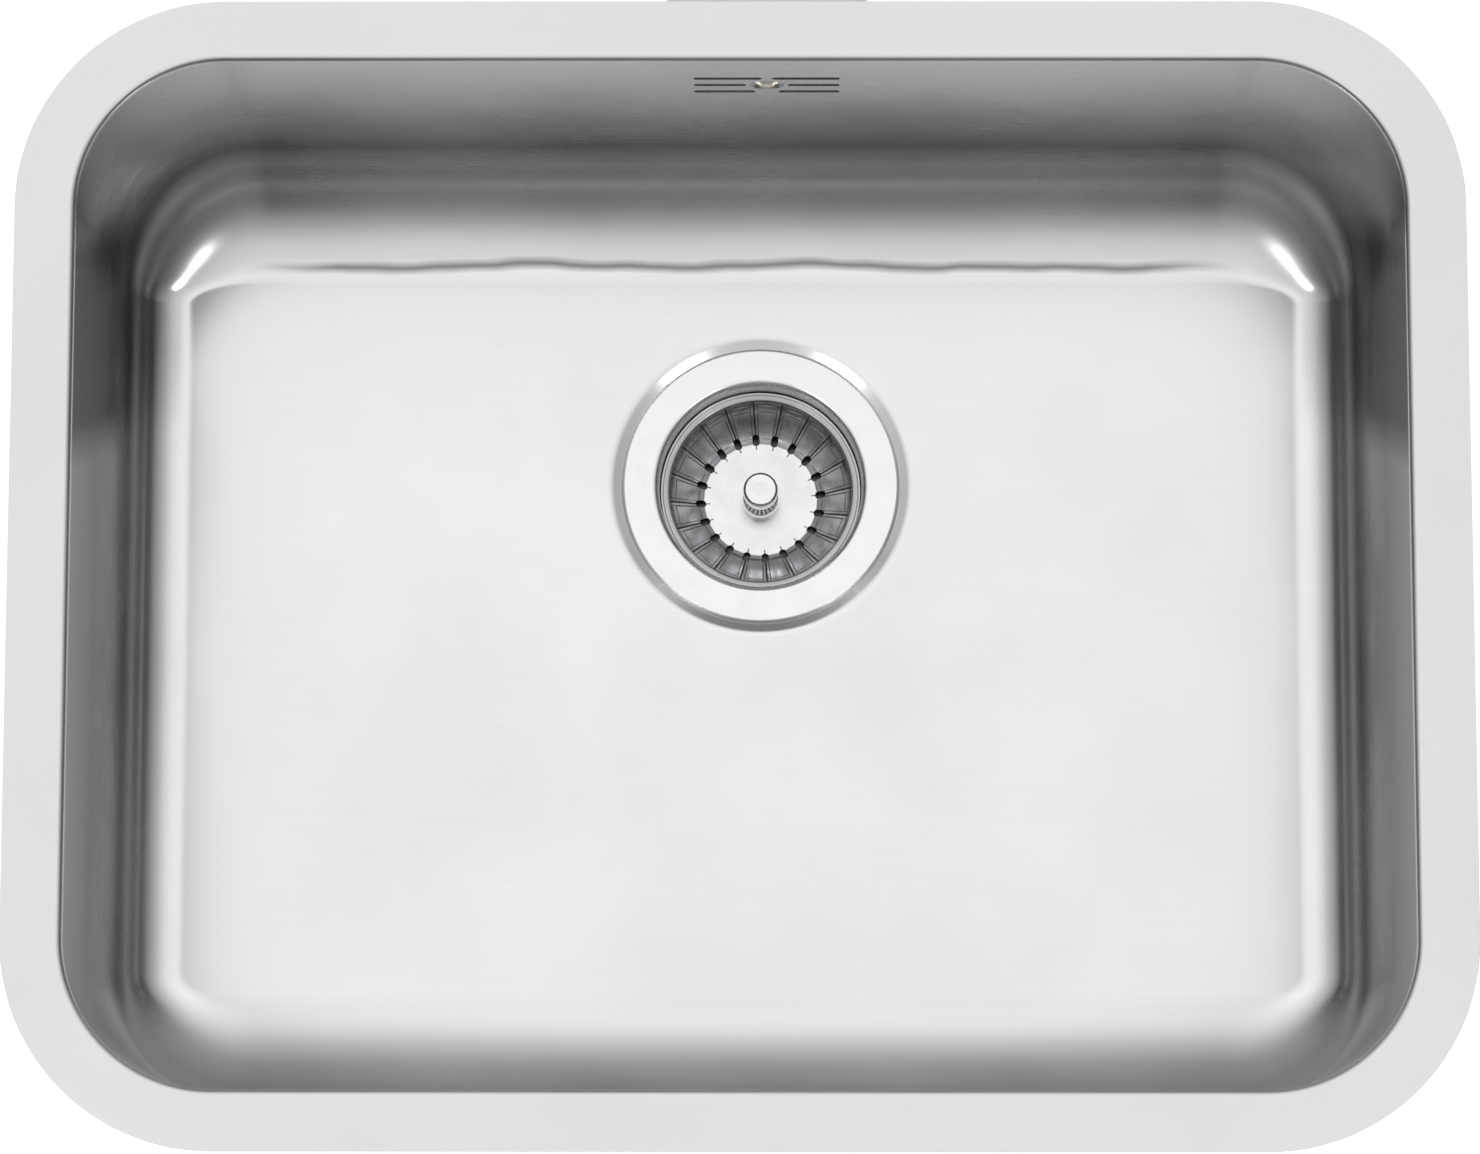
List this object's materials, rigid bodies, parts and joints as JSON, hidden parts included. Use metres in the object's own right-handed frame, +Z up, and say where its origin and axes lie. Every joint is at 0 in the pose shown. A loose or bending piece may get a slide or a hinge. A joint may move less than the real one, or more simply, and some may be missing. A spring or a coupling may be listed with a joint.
{
  "type": "undermount kitchen sink",
  "caption": "Undermount kitchen sink: a pressed steel bowl with round corners, a basket strainer waste and a slotted overflow piped to it.",
  "frame": {"origin": "centre of the rim's flat top face, which the underside of the worktop sits on", "axes": "+X along the sink's width, to the right; +Y to the back, where the overflow is; +Z up, out of the rim's top face"},
  "size_m": [0.54, 0.4445, 0.284],
  "materials": {
    "bowl_steel": "brushed",
    "waste_steel": "fine satin",
    "basket_steel": "polished",
    "knob_steel": "polished",
    "fastener_steel": "turned",
    "screw_nickel": "nickel plated brass",
    "insert_brass": "turned",
    "seal_rubber": "moulded",
    "pad_rubber": "matt sheet",
    "waste_plastic": "moulded",
    "nut_plastic": "moulded",
    "pipe_plastic": "smooth",
    "clip_plastic": "moulded"
  },
  "bodies": {
    "sink": {"bowl": "bowl_steel", "sound_deadening_pad": "pad_rubber", "waste_flange": "waste_steel", "waste_flange_seal": "seal_rubber", "waste_body_gasket": "seal_rubber", "waste_clamp_screw": "fastener_steel", "waste_insert_nut": "insert_brass", "waste_body": "waste_plastic", "overflow_gasket": "seal_rubber", "overflow_housing": "waste_plastic", "overflow_screw": "screw_nickel", "overflow_insert_nut": "insert_brass", "overflow_pipe": "pipe_plastic", "upper_cone_seal": "seal_rubber", "upper_coupling_nut": "nut_plastic", "lower_cone_seal": "seal_rubber", "lower_coupling_nut": "nut_plastic"},
    "stem_clip": {"basket_spring_clip": "clip_plastic"},
    "basket": {"strainer_basket": "basket_steel", "basket_knob": "knob_steel", "basket_stem": "fastener_steel", "basket_plug_seal": "seal_rubber", "basket_seal_retainer": "fastener_steel", "basket_stem_nut": "fastener_steel"}
  },
  "joints": [
    {"name": "basket_lift", "type": "slide", "parent": "sink", "child": "stem_clip", "axis": [0, 0, 1], "range_m": [0, 0.27]},
    {"name": "basket_turn", "type": "hinge", "parent": "stem_clip", "child": "basket", "pos_m": [0.0075, 0.0615, -0.23], "axis": [0, 0, 1], "continuous": true}
  ]
}
